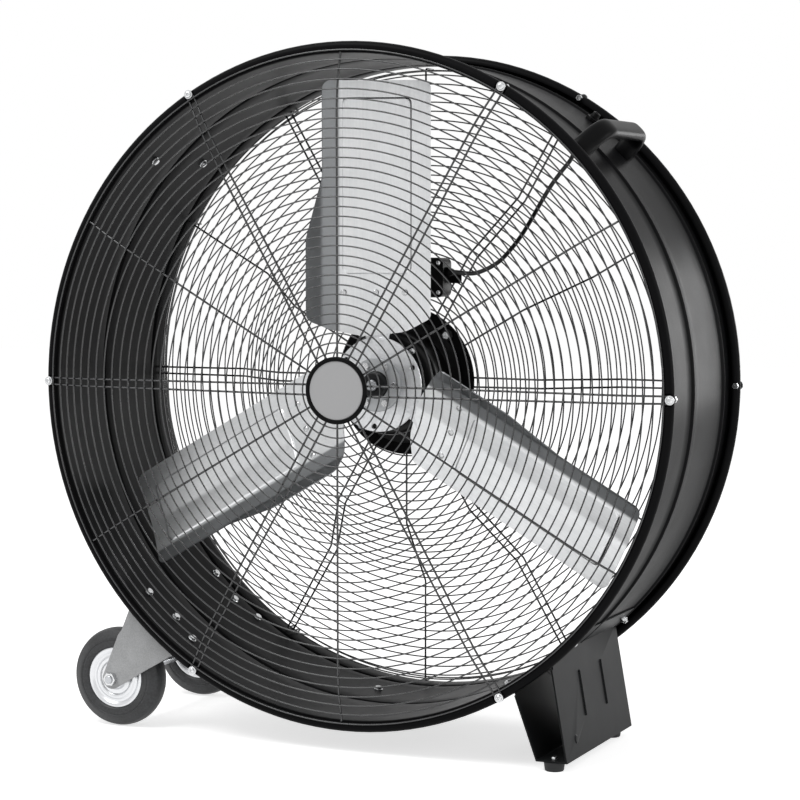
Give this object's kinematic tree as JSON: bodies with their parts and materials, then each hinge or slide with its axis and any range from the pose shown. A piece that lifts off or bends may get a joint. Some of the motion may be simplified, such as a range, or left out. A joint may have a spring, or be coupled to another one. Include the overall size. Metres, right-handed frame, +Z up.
{
  "type": "drum fan",
  "caption": "Portable drum fan: pitched aluminium propeller in a black steel drum between wire grilles, on a pair of wheels and a channel foot.",
  "frame": {"origin": "on the floor, at the middle of the bounding box's underside", "axes": "+X to the right seen from the front, +Y to the back, +Z up; the fan blows towards -Y"},
  "size_m": [0.993, 0.3532, 1.0196],
  "materials": {
    "black_paint": "satin",
    "grille_paint": "gloss",
    "motor_paint": "satin",
    "foot_paint": "satin",
    "bracket_grey": "satin",
    "grey_plastic": "satin",
    "black_plastic": "satin",
    "zinc": "satin",
    "bright_steel": "satin",
    "dark_steel": "satin",
    "core_steel": "matte",
    "copper": "satin",
    "cable_rubber": "matte",
    "pad_rubber": "matte",
    "tyre_rubber": "matte",
    "rim_zinc": "satin",
    "hub_iron": "satin",
    "spider_steel": "satin",
    "blade_aluminium": "brushed"
  },
  "bodies": {
    "frame": {"drum_shell": "black_paint", "front_grille_rings": "grille_paint", "front_grille_spokes": "grille_paint", "front_grille_screws": "zinc", "badge_disc": "grey_plastic", "badge_ring": "black_plastic", "badge_clamp_plate": "black_paint", "badge_bolt": "zinc", "rear_grille_rings": "grille_paint", "rear_grille_spokes": "grille_paint", "rear_grille_screws": "zinc", "grille_nuts": "zinc", "motor_mount_plate": "black_paint", "motor_mount_bolts": "zinc", "motor_housing": "motor_paint", "motor_front_bell": "motor_paint", "motor_rear_bell": "motor_paint", "motor_through_bolts": "zinc", "stator_core": "core_steel", "stator_windings": "copper", "front_bearing": "bright_steel", "rear_bearing": "bright_steel", "terminal_box": "black_plastic", "terminal_box_lid": "black_plastic", "terminal_box_bracket": "black_paint", "terminal_box_screws": "zinc", "box_gland": "black_plastic", "drum_gland": "black_plastic", "motor_cable": "cable_rubber", "handle": "black_plastic", "handle_bolts": "zinc", "wall_bolts": "zinc", "wheel_bracket_front": "bracket_grey", "wheel_bracket_rear": "bracket_grey", "wheel_bracket_bolts": "zinc", "wheel_axle": "bright_steel", "axle_nuts": "zinc", "axle_washers": "zinc", "axle_collars": "zinc", "foot_channel": "foot_paint", "foot_bolts": "zinc", "foot_pads": "pad_rubber", "foot_pad_screws": "zinc"},
    "propeller": {"motor_shaft": "bright_steel", "rotor_core": "core_steel", "shaft_key": "bright_steel", "hub": "hub_iron", "hub_bolts": "zinc", "hub_set_screw": "dark_steel", "spider": "spider_steel", "blade_1": "blade_aluminium", "blade_2": "blade_aluminium", "blade_3": "blade_aluminium", "blade_rivets": "blade_aluminium"},
    "front_wheel": {"front_tyre": "tyre_rubber", "front_rim": "rim_zinc"},
    "rear_wheel": {"rear_tyre": "tyre_rubber", "rear_rim": "rim_zinc"}
  },
  "joints": [
    {"name": "fan_spin", "type": "hinge", "parent": "frame", "child": "propeller", "pos_m": [0, -0.0346, 0.52518], "axis": [0, 1, 0], "continuous": true},
    {"name": "front_wheel_spin", "type": "hinge", "parent": "frame", "child": "front_wheel", "pos_m": [-0.39134, -0.1209, 0.075], "axis": [0, 1, 0], "continuous": true},
    {"name": "rear_wheel_spin", "type": "hinge", "parent": "frame", "child": "rear_wheel", "pos_m": [-0.39134, 0.1331, 0.075], "axis": [0, 1, 0], "continuous": true}
  ]
}
